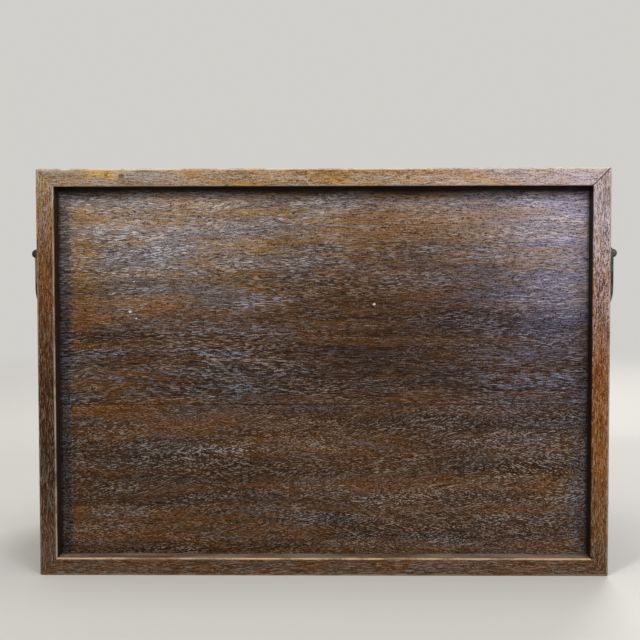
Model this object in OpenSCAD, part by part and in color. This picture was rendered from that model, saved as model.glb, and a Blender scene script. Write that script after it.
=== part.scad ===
// A small upright tea box of dark oiled hardwood.
// Four boards joined by hidden mitred dovetails make the case, a two-board panel is let into
// grooves a little way in from the back edges, and two shelves and two uprights carry five
// dovetailed drawers. Each drawer has an iron drop pull, each end of the case a carrying handle.
// The origin is the middle of the underside. The drawers face -Y, the inset back faces +Y.

/* [Case] */
// Width of the case, from end to end
case_w = 420; // [390:1:470]
// Depth of the case, from front edge to back edge
case_d = 230; // [205:1:280]
// Height of the case
case_h = 300; // [285:1:360]
// Thickness of the four case boards
board_t = 13; // [12:0.5:16]
// Round worn on the long arrises of the case boards
arris_r = 1.2; // [0.6:0.1:2]
// Round worn on the four outer corners, where two boards meet
corner_r = 1.8; // [0.8:0.1:3]

/* [Corner dovetails] */
// Mitred outer lap that hides the dovetails
lap_t = 4; // [3:0.5:5]
// Plain mitre at the front edge, before the first pin
front_mitre = 6; // [4:1:12]
// Plain mitre at the back edge, which also takes the groove of the back panel
back_mitre = 25; // [24:1:34]
// Pitch of the tails along the corner
corner_pitch = 33; // [24:1:50]
// Width of a pin at its root
corner_pin = 10; // [7:0.5:12]
// Slope of every tail, as a rise over its length
tail_slope = 0.15; // [0.1:0.01:0.17]

/* [Back panel] */
// Depth of the panel behind the back edges of the case
back_recess = 14; // [8:0.5:15]
// Thickness of the two panel boards
panel_t = 7; // [5:0.5:8]
// Depth of the groove that holds the panel
panel_groove = 5; // [3:0.5:6]
// Room left for the panel to swell, at its top and at each end
panel_float = 0.8; // [0.4:0.1:1.5]
// Height of the joint between the two panel boards, above the case floor
panel_joint_h = 113; // [80:1:170]

/* [Shelves and partitions] */
// Thickness of the two shelves
shelf_t = 9; // [8:0.5:12]
// Thickness of the two partitions
partition_t = 8; // [6:0.5:12]
// Depth of the housing of a shelf in the case sides
shelf_housing = 4; // [3:0.5:5]
// Depth of the housing of a partition in the board above and below it
partition_housing = 2.5; // [1.5:0.5:3]
// Distance that a housing stops short of the front, so that it doesn't show
housing_stop = 8; // [5:1:15]
// Distance of shelves, partitions and drawer fronts behind the front edges of the case
front_setback = 1; // [0.5:0.5:4]
// Clear height of the top row of drawers
top_row_h = 56; // [52:1:64]
// Clear height of the middle row of drawers
middle_row_h = 84; // [72:1:94]

/* [Drawers] */
// Thickness of a drawer front
front_t = 12; // [10:0.5:16]
// Thickness of a drawer side
side_t = 7; // [6:0.5:9]
// Thickness of a drawer back
back_t = 7; // [6:0.5:9]
// Thickness of a drawer bottom
bottom_t = 4; // [3:0.5:5]
// Height of the drawer bottom above the lower edge of the drawer
bottom_rise = 6; // [5.5:0.5:9]
// Depth of the groove that holds the drawer bottom
bottom_groove = 3; // [2:0.5:4]
// Play of the drawer bottom at the end of its groove
bottom_play = 0.3; // [0.2:0.1:0.8]
// Drop of the drawer back below the top edge of the sides
back_drop = 4; // [2:0.5:8]
// Round on the edges of the drawer front
front_r = 1; // [0.5:0.1:2]
// Gap at each side of a drawer
side_gap = 0.5; // [0.3:0.1:1]
// Gap above a drawer
top_gap = 0.8; // [0.5:0.1:1.5]
// Gap under a drawer, where it runs
run_gap = 0.2; // [0.1:0.05:0.4]
// Gap between a closed drawer and the back panel
rear_gap = 3; // [2:0.5:8]

/* [Drawer dovetails] */
// Wood left in front of the tails, so that they don't show on the drawer face
front_lap = 4; // [3:0.5:5]
// Pitch of the tails up a drawer side
drawer_pitch = 28; // [20:1:34]
// Width of a pin at its root
drawer_pin = 9; // [7:0.5:10]

/* [Drawer stops] */
// Length of a stop block across the drawer
stop_w = 20; // [12:1:40]
// Width of a stop block from front to back
stop_d = 12; // [8:1:20]
// Height of a stop block
stop_h = 3; // [2:0.5:4]
// Distance of a stop block from the side of its drawer
stop_inset = 24; // [15:1:40]

/* [Drawer pulls] */
// Distance between the two posts of a pull
pull_spacing = 52; // [40:1:70]
// Distance of the pivot in front of the drawer face
pull_standoff = 9; // [8:0.5:12]
// Drop from the pivot to the middle of the grip
pull_drop = 22; // [18:0.5:26]
// Radius of the wire of the bail
pull_wire_r = 1.7; // [1.5:0.1:2]
// Radius of the grip at its middle
pull_grip_r = 2.2; // [2:0.1:2.8]
// Radius of the lower bends, along the middle of the wire
pull_bend_r = 7; // [5:0.5:9]
// Radius of the ball that makes the eye
pull_eye_r = 3.5; // [3.2:0.1:4]
// Radius of the rosette under a post
pull_rosette_r = 8; // [6:0.5:10]
// Rise of the rosette from the board to its flat
pull_rosette_h = 2.8; // [2:0.2:3.4]
// Radius of the shank that goes through the board
pull_shank_r = 1.3; // [1:0.1:1.5]
// Radius of the neck between collar and eye
pull_neck_r = 2; // [1.7:0.1:2.4]
// Radius of the collar that holds the rosette down
pull_collar_r = 2.6; // [2.5:0.1:3]
// Radius of the bend at the shoulder of the bail, along the middle of the wire
pull_shoulder_r = 2.7; // [2.2:0.1:3.5]

/* [End handles] */
// Distance between the two posts of a handle
handle_spacing = 110; // [80:1:130]
// Height of the pivot above the upper shelf, which keeps the shanks clear of its housing
handle_rise = 8; // [6:1:14]
// Distance of the pivot from the end of the case
handle_standoff = 12; // [11:0.5:16]
// Drop from the pivot to the middle of the grip
handle_drop = 38; // [32:1:50]
// Radius of the wire of the bail
handle_wire_r = 2.4; // [2.1:0.1:3]
// Radius of the grip at its middle
handle_grip_r = 3.3; // [3:0.1:4]
// Radius of the lower bends, along the middle of the wire
handle_bend_r = 12; // [8:0.5:16]
// Radius of the ball that makes the eye
handle_eye_r = 5.5; // [4.5:0.1:6]
// Radius of the rosette under a post
handle_rosette_r = 12; // [9:0.5:15]
// Rise of the rosette from the board to its flat
handle_rosette_h = 3.4; // [2.4:0.2:4]
// Radius of the shank that goes through the board
handle_shank_r = 2; // [1.5:0.1:2.4]
// Radius of the neck between collar and eye
handle_neck_r = 3; // [2.6:0.1:3.6]
// Radius of the collar that holds the rosette down
handle_collar_r = 4; // [3.7:0.1:4.4]
// Radius of the bend at the shoulder of the bail, along the middle of the wire
handle_shoulder_r = 4; // [3.2:0.1:5]
// Radius of the small knob that ends a handle post
knob_r = 3.5; // [2.5:0.1:4]
// Distance that the knob reaches from the end of the case
knob_reach = 19.5; // [18:0.5:24]

/* [Hinges and shanks] */
// Room around a hinge pin in its eye, on the radius
pin_fit = 0.05; // [0.02:0.01:0.1]
// Step from the wire of a bail down to its pin, on the radius
pin_step = 0.2; // [0.1:0.1:0.5]
// Room between the shoulder of a bail and the ball of its eye
shoulder_gap = 0.5; // [0.4:0.1:1]
// Length of pin that shows on the inner side of the eye
pin_tail = 1; // [0.5:0.1:2]
// Room around a shank in its hole, on the radius
shank_fit = 0.1; // [0.05:0.05:0.2]
// Straight edge under the dome of a rosette
rosette_rim = 0.6; // [0.4:0.1:1]
// Height that the flat under the collar takes off the dome
dome_cut = 0.5; // [0.4:0.1:0.8]
// Height of the collar that holds a rosette down
collar_h = 0.9; // [0.6:0.1:1.5]
// Length of each leg that is bent over inside a drawer front
leg_l = 8; // [5:0.5:10]
// Length of the taper at the end of a leg
leg_taper = 3.2; // [2:0.2:4]
// Half the width of the end of a leg
leg_tip = 0.45; // [0.3:0.05:0.8]
// Thickness of a leg
leg_t = 1.2; // [0.8:0.1:1.6]
// Radius of the washer that a handle shank is riveted over, inside the case
washer_r = 4.2; // [3.5:0.1:5]
// Thickness of that washer
washer_t = 1.4; // [1:0.1:2]
// Depth of the washer below the inner face of the case
washer_sink = 0.4; // [0.2:0.1:0.8]

/* [Hidden] */
$fn = 64;

case_colour = "#5a3a24";
panel_colour = "#4a3022";
shelf_colour = "#7a5a3c";
drawer_front_colour = "#573722";
drawer_wood_colour = "#94714c";
iron_colour = "#3a3836";

half_w = case_w / 2;
front_y = -case_d / 2;
back_y = case_d / 2;
inner_w = case_w - 2 * board_t;
inner_top = case_h - board_t;

// The back panel and the depth in front of it
panel_back_y = back_y - back_recess;
panel_front_y = panel_back_y - panel_t;
face_y = front_y + front_setback;
inner_d = panel_front_y - face_y;

// The dovetailed length of a case corner
joint_y0 = front_y + front_mitre;
joint_l = case_d - front_mitre - back_mitre;
socket_t = board_t - lap_t;

// The rows of drawers, from the top down
top_row_z = inner_top - top_row_h;
upper_shelf_z = top_row_z - shelf_t;
middle_row_z = upper_shelf_z - middle_row_h;
lower_shelf_z = middle_row_z - shelf_t;
bottom_row_h = lower_shelf_z - board_t;
handle_pivot_z = top_row_z + handle_rise;

half_row_w = (inner_w - partition_t) / 2;
half_row_x = (half_row_w + partition_t) / 2;
drawer_l = panel_front_y - rear_gap - face_y;
back_bottom_z = bottom_rise + bottom_t;

// One line a drawer: name, middle of its opening across, floor, width and height of the opening
DRAWERS = [
    ["top_left", -half_row_x, top_row_z, half_row_w, top_row_h],
    ["top_right", half_row_x, top_row_z, half_row_w, top_row_h],
    ["middle_left", -half_row_x, middle_row_z, half_row_w, middle_row_h],
    ["middle_right", half_row_x, middle_row_z, half_row_w, middle_row_h],
    ["bottom", 0, board_t, inner_w, bottom_row_h]
];

CASE_NODES = [
    "case_top", "case_bottom", "case_left_side", "case_right_side",
    "back_board_upper", "back_board_lower", "shelf_upper", "shelf_lower",
    "partition_upper", "partition_middle", "drawer_stops"
];
DRAWER_NODES = [
    "drawer_front", "drawer_left_side", "drawer_right_side", "drawer_back", "drawer_bottom",
    "pull_rosettes", "pull_posts", "pull_bail"
];
HANDLE_NODES = ["handle_rosettes", "handle_posts", "handle_bail"];
END_NAMES = ["left", "right"];

function opening_x(d) = d[1];
function opening_z(d) = d[2];
function drawer_w(d) = d[3] - 2 * side_gap;
function drawer_h(d) = d[4] - top_gap - run_gap;

// ---- shapes that several pieces share ----

// A rectangle with round corners, its lower left corner at the origin
module rounded_rectangle(w, h, r) {
    translate([r, 0]) square([w - 2 * r, h]);
    translate([0, r]) square([w, h - 2 * r]);
    for (x = [r, w - r], y = [r, h - r])
        translate([x, y]) circle(r);
}

// A row of tails along +X: roots on the X axis, wide ends at y = reach, half a pin at each end
module tail_row(run, reach, pitch, pin) {
    count = max(2, round(run / pitch));
    step = run / count;
    root = (step - pin) / 2;
    tip = root + reach * tail_slope;
    for (i = [0 : count - 1])
        translate([(i + 0.5) * step, 0])
            polygon([[-root, 0], [root, 0], [tip, reach], [-tip, reach]]);
}

// Its children on both ends of the case
module both_ends() {
    children();
    mirror([1, 0, 0]) children();
}

// Its children at the top of the case and turned over at the bottom
module top_and_bottom() {
    children();
    upside_down() children();
}

// Its children turned over, from the top of the case to the bottom
module upside_down() {
    translate([0, 0, case_h]) mirror([0, 0, 1]) children();
}

// ---- the case ----

// The outside of the whole case, with its four corners worn round
module case_outline() {
    translate([-half_w, back_y, 0]) rotate([90, 0, 0])
        linear_extrude(case_d) rounded_rectangle(case_w, case_h, corner_r);
}

// The square inside a corner where pins and tails share the wood, behind the mitred laps
module corner_square() {
    translate([half_w - board_t, joint_y0, inner_top])
        cube([socket_t, joint_l, socket_t]);
}

// The tails of one corner, which point up from the end board
module corner_tails() {
    translate([half_w - board_t, joint_y0, inner_top]) rotate([90, 0, 90])
        linear_extrude(socket_t) tail_row(joint_l, socket_t, corner_pitch, corner_pin);
}

// The room that the back panel takes, also in its grooves
module panel_room() {
    translate([-inner_w / 2 - panel_groove, panel_front_y, board_t - panel_groove])
        cube([inner_w + 2 * panel_groove, panel_t, inner_top - board_t + 2 * panel_groove]);
}

// A flat board between two mitred ends, at the top of the case
module level_board_blank() {
    intersection() {
        translate([0, back_y, 0]) rotate([90, 0, 0]) linear_extrude(case_d)
            polygon([[-half_w, case_h], [half_w, case_h],
                     [half_w - board_t, inner_top], [board_t - half_w, inner_top]]);
        translate([-half_w, front_y, inner_top]) rotate([90, 0, 90])
            linear_extrude(case_w) rounded_rectangle(case_d, board_t, arris_r);
        case_outline();
    }
}

// The level board with the pins of its two corners and the groove of the back panel
module level_board() {
    difference() {
        union() {
            level_board_blank();
            both_ends() corner_square();
        }
        both_ends() corner_tails();
        panel_room();
    }
}

// An upright board between two mitred ends, at the right end of the case
module end_board_blank() {
    intersection() {
        translate([0, back_y, 0]) rotate([90, 0, 0]) linear_extrude(case_d)
            polygon([[half_w, 0], [half_w, case_h],
                     [half_w - board_t, inner_top], [half_w - board_t, board_t]]);
        translate([half_w - board_t, front_y, 0])
            linear_extrude(case_h) rounded_rectangle(board_t, case_d, arris_r);
        case_outline();
    }
}

// The end board with its tails, the panel groove, the shelf housings and the handle holes
module end_board() {
    difference() {
        union() {
            difference() {
                end_board_blank();
                top_and_bottom() corner_square();
            }
            top_and_bottom() corner_tails();
        }
        panel_room();
        shelf_blank(upper_shelf_z);
        shelf_blank(lower_shelf_z);
        for (side = [-1, 1])
            translate([half_w, side * handle_spacing / 2, handle_pivot_z])
                rotate([0, -90, 0]) handle_post_hole();
    }
}

// The hole of a handle shank, drilled inwards, and the sinking for its washer
module handle_post_hole() {
    hole_l = 2 * board_t;
    translate([0, 0, -board_t]) cylinder(h = hole_l, r = handle_shank_r + shank_fit);
    translate([0, 0, board_t - washer_t - washer_sink])
        cylinder(h = board_t, r = washer_r + shank_fit);
}

module case_top() {
    color(case_colour) difference() {
        level_board();
        partition_blank(top_row_z, top_row_h);
    }
}

module case_bottom() {
    color(case_colour) upside_down() level_board();
}

module case_left_side() {
    color(case_colour) mirror([1, 0, 0]) end_board();
}

module case_right_side() {
    color(case_colour) end_board();
}

// ---- the back panel, two boards glued edge to edge ----

// A panel board between two heights
module panel_board(z0, z1) {
    board_w = inner_w + 2 * (panel_groove - panel_float);
    color(panel_colour) translate([-board_w / 2, panel_front_y, z0])
        cube([board_w, panel_t, z1 - z0]);
}

module back_board_upper() {
    panel_board(board_t + panel_joint_h, inner_top + panel_groove - panel_float);
}

module back_board_lower() {
    panel_board(board_t - panel_groove, board_t + panel_joint_h);
}

// ---- shelves, partitions and stops ----

// A shelf with the tongues that enter the end boards, its underside at height z
module shelf_blank(z) {
    translate([-inner_w / 2, face_y, z]) cube([inner_w, inner_d, shelf_t]);
    translate([-inner_w / 2 - shelf_housing, face_y + housing_stop, z])
        cube([inner_w + 2 * shelf_housing, inner_d - housing_stop, shelf_t]);
}

// A partition with the tongues that enter the boards above and below a row of drawers
module partition_blank(row_z, row_h) {
    translate([-partition_t / 2, face_y, row_z]) cube([partition_t, inner_d, row_h]);
    translate([-partition_t / 2, face_y + housing_stop, row_z - partition_housing])
        cube([partition_t, inner_d - housing_stop, row_h + 2 * partition_housing]);
}

module shelf_upper() {
    color(shelf_colour) difference() {
        shelf_blank(upper_shelf_z);
        partition_blank(top_row_z, top_row_h);
        partition_blank(middle_row_z, middle_row_h);
    }
}

module shelf_lower() {
    color(shelf_colour) difference() {
        shelf_blank(lower_shelf_z);
        partition_blank(middle_row_z, middle_row_h);
    }
}

module partition_upper() {
    color(shelf_colour) partition_blank(top_row_z, top_row_h);
}

module partition_middle() {
    color(shelf_colour) partition_blank(middle_row_z, middle_row_h);
}

// Two blocks glued under each drawer, which catch the inner face of its front
module drawer_stops() {
    color(shelf_colour) for (d = DRAWERS, side = [-1, 1])
        translate([opening_x(d) + side * (drawer_w(d) / 2 - stop_inset - stop_w / 2) - stop_w / 2,
                   face_y + front_t + run_gap, opening_z(d)])
            cube([stop_w, stop_d, stop_h]);
}

// ---- one drawer: x = 0 is its middle, y = 0 its face, z = 0 its lower edge ----

// Its children in the place of a drawer
module in_opening(d) {
    translate([opening_x(d), face_y, opening_z(d) + run_gap]) children();
}

// The half-blind tails of one side, behind the lap of the front
module front_tails(d, side) {
    translate([side * (drawer_w(d) - side_t) / 2, front_t, 0]) rotate([0, -90, 180])
        linear_extrude(side_t, center = true)
            tail_row(drawer_h(d), front_t - front_lap, drawer_pitch, drawer_pin);
}

// The through tails of one side at the drawer back
module rear_tails(d, side) {
    rear_run = drawer_h(d) - back_drop - back_bottom_z;
    translate([side * (drawer_w(d) - side_t) / 2, drawer_l - back_t, back_bottom_z])
        rotate([0, -90, 0]) linear_extrude(side_t, center = true)
            tail_row(rear_run, back_t, drawer_pitch, drawer_pin);
}

// The wood that side and back share at a rear corner
module rear_corner(d, side) {
    translate([side * (drawer_w(d) - side_t) / 2 - side_t / 2, drawer_l - back_t, back_bottom_z])
        cube([side_t, back_t, drawer_h(d) - back_drop - back_bottom_z]);
}

// The groove of the drawer bottom, cut round the inside of front and sides
module bottom_groove_room(d) {
    room_w = drawer_w(d) - 2 * side_t + 2 * bottom_groove;
    translate([-room_w / 2, front_t - bottom_groove, bottom_rise])
        cube([room_w, drawer_l - front_t + bottom_groove, bottom_t]);
}

// The middle of the pull on the drawer face, at the height of its pivot
module at_pull(d) {
    translate([0, 0, (drawer_h(d) + pull_drop) / 2]) rotate([90, 0, 0]) children();
}

// The board of a drawer front, its four front edges rounded over
module front_blank(d) {
    w = drawer_w(d);
    h = drawer_h(d);
    intersection() {
        translate([-w / 2, 0, 0]) linear_extrude(h) eased_section(w);
        translate([w / 2, 0, 0]) rotate([0, -90, 0]) linear_extrude(w) eased_section(h);
    }
}

// The section of a drawer front: the face on the X axis with round corners, square behind
module eased_section(w) {
    translate([0, front_r]) square([w, front_t - front_r]);
    translate([front_r, 0]) square([w - 2 * front_r, front_t]);
    for (x = [front_r, w - front_r])
        translate([x, front_r]) circle(front_r);
}

module drawer_front(d) {
    color(drawer_front_colour) in_opening(d) difference() {
        front_blank(d);
        for (side = [-1, 1]) front_tails(d, side);
        bottom_groove_room(d);
        at_pull(d) both_posts(pull_spacing)
            translate([0, 0, -2 * front_t])
                cylinder(h = 3 * front_t, r = pull_shank_r + shank_fit);
    }
}

module drawer_side(d, side) {
    color(drawer_wood_colour) in_opening(d) difference() {
        union() {
            translate([side * (drawer_w(d) - side_t) / 2 - side_t / 2, front_t, 0])
                cube([side_t, drawer_l - front_t, drawer_h(d)]);
            front_tails(d, side);
        }
        difference() {
            rear_corner(d, side);
            rear_tails(d, side);
        }
        bottom_groove_room(d);
    }
}

module drawer_back(d) {
    color(drawer_wood_colour) in_opening(d) difference() {
        translate([-drawer_w(d) / 2, drawer_l - back_t, back_bottom_z])
            cube([drawer_w(d), back_t, drawer_h(d) - back_drop - back_bottom_z]);
        for (side = [-1, 1]) rear_tails(d, side);
    }
}

module drawer_bottom(d) {
    board_w = drawer_w(d) - 2 * side_t + 2 * (bottom_groove - bottom_play);
    board_y = front_t - bottom_groove + bottom_play;
    color(drawer_wood_colour) in_opening(d)
        translate([-board_w / 2, board_y, bottom_rise])
            cube([board_w, drawer_l - board_y, bottom_t]);
}

// ---- drop handles: the board is the XY plane, +Z points away from it, the pins lie along X ----

// Its children at both posts of a handle
module both_posts(spacing) {
    for (side = [-1, 1]) translate([side * spacing / 2, 0, 0]) children();
}

// A round rosette: a low dome on a straight rim, flat on top where the collar sits
module rosette(r, rise, shank_r) {
    dome_h = rise - rosette_rim + dome_cut;
    ball_r = (r * r + dome_h * dome_h) / (2 * dome_h);
    difference() {
        intersection() {
            union() {
                cylinder(h = rosette_rim, r = r);
                translate([0, 0, rosette_rim + dome_h - ball_r]) sphere(ball_r);
            }
            cylinder(h = rise, r = r);
        }
        translate([0, 0, -rise]) cylinder(h = 3 * rise, r = shank_r + shank_fit);
    }
}

// A post: shank, collar, neck and the ball whose bore takes the pin of the bail
module eye_post(standoff, rise, shank_r, shank_l, collar_r, neck_r, eye_r, pin_r) {
    difference() {
        union() {
            translate([0, 0, -shank_l]) cylinder(h = shank_l + rise, r = shank_r);
            translate([0, 0, rise]) cylinder(h = collar_h, r = collar_r);
            translate([0, 0, rise]) cylinder(h = standoff - rise, r = neck_r);
            translate([0, 0, standoff]) sphere(eye_r);
            children();
        }
        translate([-2 * eye_r, 0, standoff]) rotate([0, 90, 0])
            cylinder(h = 4 * eye_r, r = pin_r + pin_fit);
    }
}

// One leg bent over against the inner face of a drawer front, tapered to its end
module clinched_leg(half_t) {
    taper_x = leg_l - leg_taper;
    linear_extrude(leg_t)
        polygon([[0, -half_t], [taper_x, -half_t], [leg_l, -leg_tip],
                 [leg_l, leg_tip], [taper_x, half_t], [0, half_t]]);
}

// The moving bail: pins, shoulders, arms and a grip that swells to its middle
module bail(spacing, standoff, drop, wire_r, grip_r, bend_r, eye_r, shoulder_r) {
    pin_r = wire_r - pin_step;
    shoulder_x = spacing / 2 + eye_r + shoulder_gap;
    arm_x = shoulder_x + shoulder_r;
    pin_end_x = spacing / 2 - eye_r - pin_tail;
    grip_x = arm_x - bend_r;
    translate([0, 0, standoff]) both_ends() {
        translate([pin_end_x, 0, 0]) rotate([0, 90, 0])
            cylinder(h = shoulder_x - pin_end_x, r = pin_r);
        translate([shoulder_x, -shoulder_r, 0])
            rotate_extrude(angle = 90) translate([shoulder_r, 0]) circle(wire_r);
        translate([arm_x, -shoulder_r, 0]) rotate([90, 0, 0])
            cylinder(h = drop - shoulder_r - bend_r, r = wire_r);
        translate([grip_x, bend_r - drop, 0]) rotate([0, 0, -90])
            rotate_extrude(angle = 90) translate([bend_r, 0]) circle(wire_r);
        translate([0, -drop, 0]) rotate([0, 90, 0])
            cylinder(h = grip_x, r1 = grip_r, r2 = wire_r);
    }
}

module pull_rosettes(d) {
    color(iron_colour) in_opening(d) at_pull(d) both_posts(pull_spacing)
        rosette(pull_rosette_r, pull_rosette_h, pull_shank_r);
}

module pull_posts(d) {
    color(iron_colour) in_opening(d) at_pull(d) both_posts(pull_spacing)
        eye_post(pull_standoff, pull_rosette_h, pull_shank_r, front_t + leg_t,
                 pull_collar_r, pull_neck_r, pull_eye_r, pull_wire_r - pin_step)
            for (turn = [90, 270])
                translate([0, 0, -front_t - leg_t]) rotate([0, 0, turn])
                    clinched_leg(pull_shank_r);
}

module pull_bail(d) {
    color(iron_colour) in_opening(d) at_pull(d)
        bail(pull_spacing, pull_standoff, pull_drop, pull_wire_r, pull_grip_r,
             pull_bend_r, pull_eye_r, pull_shoulder_r);
}

// Its children on an end of the case, with the pins along Y: end is -1 at the left, 1 at the right
module on_end(end) {
    translate([end * half_w, 0, handle_pivot_z]) rotate([0, 0, end * 90])
        rotate([90, 0, 0]) children();
}

module handle_rosettes(end) {
    color(iron_colour) on_end(end) both_posts(handle_spacing)
        rosette(handle_rosette_r, handle_rosette_h, handle_shank_r);
}

module handle_posts(end) {
    color(iron_colour) on_end(end) both_posts(handle_spacing)
        eye_post(handle_standoff, handle_rosette_h, handle_shank_r, board_t - washer_sink,
                 handle_collar_r, handle_neck_r, handle_eye_r, handle_wire_r - pin_step) {
            translate([0, 0, knob_reach - knob_r]) sphere(knob_r);
            translate([0, 0, washer_sink - board_t]) cylinder(h = washer_t, r = washer_r);
        }
}

module handle_bail(end) {
    color(iron_colour) on_end(end)
        bail(handle_spacing, handle_standoff, handle_drop, handle_wire_r, handle_grip_r,
             handle_bend_r, handle_eye_r, handle_shoulder_r);
}

case_top();
case_bottom();
case_left_side();
case_right_side();
back_board_upper();
back_board_lower();
shelf_upper();
shelf_lower();
partition_upper();
partition_middle();
drawer_stops();
for (d = DRAWERS) {
    drawer_front(d);
    drawer_side(d, -1);
    drawer_side(d, 1);
    drawer_back(d);
    drawer_bottom(d);
    pull_rosettes(d);
    pull_posts(d);
    pull_bail(d);
}
for (end = [-1, 1]) {
    end_name = END_NAMES[(end + 1) / 2];
    handle_rosettes(end);
    handle_posts(end);
    handle_bail(end);
}
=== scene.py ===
"""The looks of a small upright tea box of dark oiled hardwood with iron fittings.

It stands on a pale floor and is seen from behind, where its panel is let in between the case boards.
The file follows the box as it is put together: the view, the floor, the case, its back, the inside,
the drawers and the iron.
"""
import math

import bpy
import numpy as np
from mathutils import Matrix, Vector


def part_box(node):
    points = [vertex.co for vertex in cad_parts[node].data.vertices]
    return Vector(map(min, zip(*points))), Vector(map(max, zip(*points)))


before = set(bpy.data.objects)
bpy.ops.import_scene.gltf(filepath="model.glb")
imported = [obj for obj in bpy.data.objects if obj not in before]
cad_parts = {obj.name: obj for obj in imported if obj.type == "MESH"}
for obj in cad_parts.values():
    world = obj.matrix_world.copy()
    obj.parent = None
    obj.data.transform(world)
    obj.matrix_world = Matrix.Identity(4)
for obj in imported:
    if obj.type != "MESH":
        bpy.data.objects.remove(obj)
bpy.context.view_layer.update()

# ---- The view -------------------------------------------------------------------------------
# The box is seen from behind at a little over its own middle height, from under a metre away,
# slightly turned, so that a little of the floor shows and all four sides of the recess do.
EYE = Vector((-0.0074, 0.9198, 0.2230))
TURN = math.radians(0.68)
DIP = math.radians(-2.40)
ROLL = math.radians(-0.08)
PICTURE_SIDE = 640
FOCAL_PIXELS = 1100
SENSOR_MM = 36.0
NEAREST = 0.01

lens = bpy.data.cameras.new("view")
lens.sensor_width = SENSOR_MM
lens.lens = SENSOR_MM * FOCAL_PIXELS / PICTURE_SIDE
lens.clip_start = NEAREST
camera = bpy.data.objects.new("view", lens)
gaze = Vector((math.sin(TURN) * math.cos(DIP), -math.cos(TURN) * math.cos(DIP), math.sin(DIP)))
bpy.context.scene.collection.objects.link(camera)
camera.location = EYE
camera.rotation_euler = gaze.to_track_quat("-Z", "Y").to_euler()
camera.rotation_euler.rotate_axis("Z", ROLL)
bpy.context.scene.camera = camera

# ---- Floor and light ------------------------------------------------------------------------
# A pale plain floor that melts into a pale surround, and four soft boxes: one at each side above
# the viewer, one overhead that catches the worn edges, and one on the drawers' side.
FLOOR_REACH = 6.0
FLOOR_SIDES = 96
FLOOR_MELTS_FROM = 900.0
FLOOR_MELTS_TO = 2400.0
FLOOR_ROUGHNESS = 0.75
SURROUND_STRENGTH = 0.42
MM_IN_METRE = 1000.0


def colour(red, green, blue):
    """A colour as a paint chart gives it, from 0 to 255, turned into light."""
    chart = np.array([red, green, blue]) / 255.0
    light = np.where(chart <= 0.04045, chart / 12.92, ((chart + 0.055) / 1.055) ** 2.4)
    return (*[float(v) for v in light], 1.0)


PALE = colour(209, 207, 203)


class Value:
    """A shader socket. Each operator on it adds the Math node of that name."""

    def __init__(self, graph, socket):
        self.graph = graph
        self.socket = socket

    def math(self, operation, *terms):
        return self.graph.add("ShaderNodeMath", {"operation": operation}, dict(enumerate(terms)))

    def __add__(self, other):
        return self.math("ADD", self, other)

    __radd__ = __add__

    def __mul__(self, other):
        return self.math("MULTIPLY", self, other)

    __rmul__ = __mul__

    def __sub__(self, other):
        return self.math("SUBTRACT", self, other)

    def __rsub__(self, other):
        return self.math("SUBTRACT", other, self)

    def __truediv__(self, other):
        return self.math("DIVIDE", self, other)

    def __rtruediv__(self, other):
        return self.math("DIVIDE", other, self)

    def __pow__(self, power):
        return self.math("POWER", self, power)

    def __abs__(self):
        return self.math("ABSOLUTE", self)

    def most(self, other):
        return self.math("MAXIMUM", self, other)

    def ramp(self, start, end):
        """0 at start, 1 at end and beyond, with a smooth step between; start may be the larger."""
        return self.graph.add(
            "ShaderNodeMapRange", {"interpolation_type": "SMOOTHSTEP", "clamp": True},
            {0: self, 1: start, 2: end})


class Graph:
    """The nodes of one material or of the world."""

    def __init__(self, tree):
        self.tree = tree
        tree.nodes.clear()

    def add(self, kind, settings=None, inputs=None, out=0):
        """Adds one node of any kind: its settings first, then its sockets, linked or set."""
        node = self.tree.nodes.new(kind)
        for key, value in (settings or {}).items():
            if key == "stops":
                for place, _ in value[1:-1]:
                    node.color_ramp.elements.new(place)
                for element, (place, shade) in zip(node.color_ramp.elements, value):
                    element.position = place
                    element.color = shade
            else:
                setattr(node, key, value)
        for key, value in (inputs or {}).items():
            if isinstance(value, Value):
                self.tree.links.new(value.socket, node.inputs[key])
            else:
                node.inputs[key].default_value = value
        return Value(self, node.outputs[out]) if node.outputs else node

    def mix(self, factor, first, second, blend="MIX"):
        """A colour between two others, or the first one changed by the second."""
        return self.add("ShaderNodeMix", {"data_type": "RGBA", "blend_type": blend},
                        {0: factor, 6: first, 7: second}, out=2)

    def shown(self):
        """1 for a ray that looks at the surround, straight, in a reflection or through glass."""
        looks = [self.add("ShaderNodeLightPath", out="Is " + kind + " Ray")
                 for kind in ("Camera", "Glossy", "Transmission")]
        return looks[0].most(looks[1]).most(looks[2])


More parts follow.
